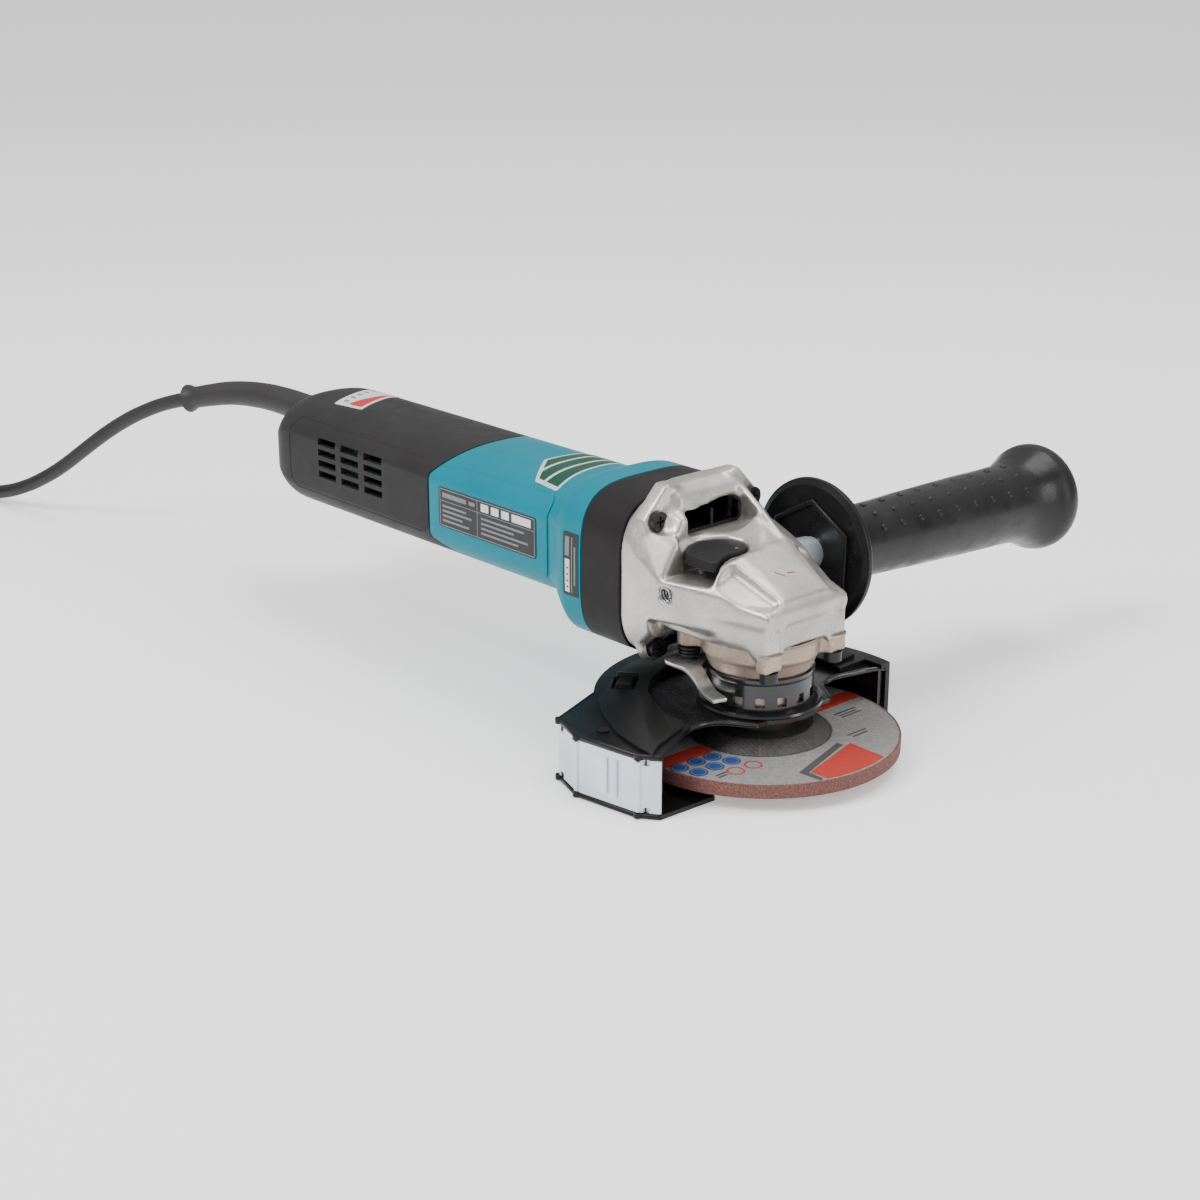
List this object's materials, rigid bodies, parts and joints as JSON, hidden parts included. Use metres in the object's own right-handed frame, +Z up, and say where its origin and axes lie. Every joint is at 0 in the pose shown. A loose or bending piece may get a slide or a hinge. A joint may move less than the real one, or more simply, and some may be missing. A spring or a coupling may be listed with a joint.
{
  "type": "angle grinder",
  "caption": "Mains-powered angle grinder with side handle, 125 mm grinding wheel, quick-release guard and clip-on cutting cover, with its lead coiled on the floor",
  "frame": {"origin": "centre of the tool's footprint, without the lead, on its lowest face", "axes": "+X towards the gear head, +Y towards the side handle, +Z up"},
  "size_m": [0.7405, 0.45, 0.1202],
  "materials": {
    "teal_plastic": "satin moulded plastic, fine texture",
    "dark_plastic": "satin moulded plastic",
    "black_plastic": "moulded plastic",
    "grip_rubber": "soft dimpled rubber",
    "cast_silver": "die-cast, satin",
    "cast_box": "die-cast, machined faces",
    "guard_black": "black painted pressed steel",
    "steel": "machined steel",
    "zinc": "zinc-plated sheet steel",
    "black_steel": "blackened steel",
    "lamination": "stacked steel sheet",
    "copper": "enamelled copper wire and copper bars",
    "brass": "pressed brass",
    "carbon": "pressed carbon",
    "abrasive": "bonded abrasive with glass mesh",
    "circuit": "potted circuit board",
    "label": "printed label film",
    "cord": "rubber-sheathed cord",
    "dial": "moulded plastic"
  },
  "bodies": {
    "housing": {"motor_housing": "teal_plastic", "rear_cover": "dark_plastic", "baffle_ring": "dark_plastic", "gear_housing": "cast_silver", "gear_housing_screws": "black_steel", "exhaust_louver": "black_plastic", "bearing_box": "cast_box", "gear_case_gasket": "black_plastic", "bearing_box_screws": "black_steel", "lever_screw": "black_steel", "lever_spring": "steel", "spindle_bearing": "steel", "bearing_retainer": "steel", "dust_seal": "black_plastic", "top_spindle_bearing": "steel", "front_motor_bearing": "steel", "rear_motor_bearing": "steel", "bearing_sleeve": "black_plastic", "field_core": "lamination", "field_coils": "copper", "air_guide": "dark_plastic", "brush_holders": "brass", "carbon_brushes": "carbon", "brush_springs": "steel", "switch_body": "black_plastic", "controller_module": "circuit", "cord_clamp": "dark_plastic", "cord_clamp_screws": "steel", "rating_labels": "label", "handle_stud": "zinc", "handle_flange": "black_plastic", "handle_grip": "grip_rubber", "lock_spring": "steel", "cord_guard": "dark_plastic", "power_cord": "cord", "cord_coil": "cord", "power_plug": "black_plastic"},
    "spindle_unit": {"spindle": "steel", "bevel_gear": "steel", "gear_circlip": "steel", "inner_flange": "black_steel", "grinding_wheel": "abrasive", "lock_nut": "steel"},
    "armature": {"armature_shaft": "steel", "armature_core": "lamination", "armature_windings": "copper", "commutator": "copper", "cooling_fan": "black_plastic", "pinion": "steel", "pinion_nut": "steel"},
    "guard": {"wheel_guard": "guard_black", "clip_on_cover": "guard_black", "cover_steel_plate": "zinc", "cover_screw": "zinc"},
    "lever": {"guard_lever": "zinc"},
    "shaft_lock": {"lock_button": "black_plastic", "lock_pin": "steel"},
    "slider": {"switch_slider": "black_plastic", "switch_rod": "dark_plastic"},
    "dial": {"speed_dial": "dial"}
  },
  "joints": [
    {"name": "spindle_spin", "type": "hinge", "parent": "housing", "child": "spindle_unit", "pos_m": [0.13475, -0.06651, 0.012], "axis": [0, 0, 1], "continuous": true},
    {"name": "armature_spin", "type": "hinge", "parent": "housing", "child": "armature", "pos_m": [0.03475, -0.06651, 0.077], "axis": [1, 0, 0], "continuous": true},
    {"name": "shaft_lock_press", "type": "slide", "parent": "housing", "child": "shaft_lock", "axis": [0, 0, -1], "range_m": [0, 0.004], "stiffness_N_per_m": 1500, "springref_m": -0.001, "deforming": ["lock_spring"]},
    {"name": "guard_turn", "type": "hinge", "parent": "housing", "child": "guard", "pos_m": [0.13475, -0.06651, 0.012], "axis": [0, 0, 1], "range_deg": [-90, 90]},
    {"name": "guard_lever_swing", "type": "hinge", "parent": "housing", "child": "lever", "pos_m": [0.11075, -0.08651, 0.044], "axis": [0, 0, -1], "range_deg": [0, 12], "stiffness_Nm_per_rad": 0.3, "springref_deg": -11.46},
    {"name": "switch_slide", "type": "slide", "parent": "housing", "child": "slider", "axis": [1, 0, 0], "range_m": [0, 0.008]},
    {"name": "speed_dial_turn", "type": "hinge", "parent": "housing", "child": "dial", "pos_m": [-0.19725, -0.06651, 0.066], "axis": [1, 0, 0], "range_deg": [0, 270]}
  ],
  "couplings": [
    {"joint": "armature_spin", "follows": "spindle_spin", "ratio": -3.0833}
  ]
}
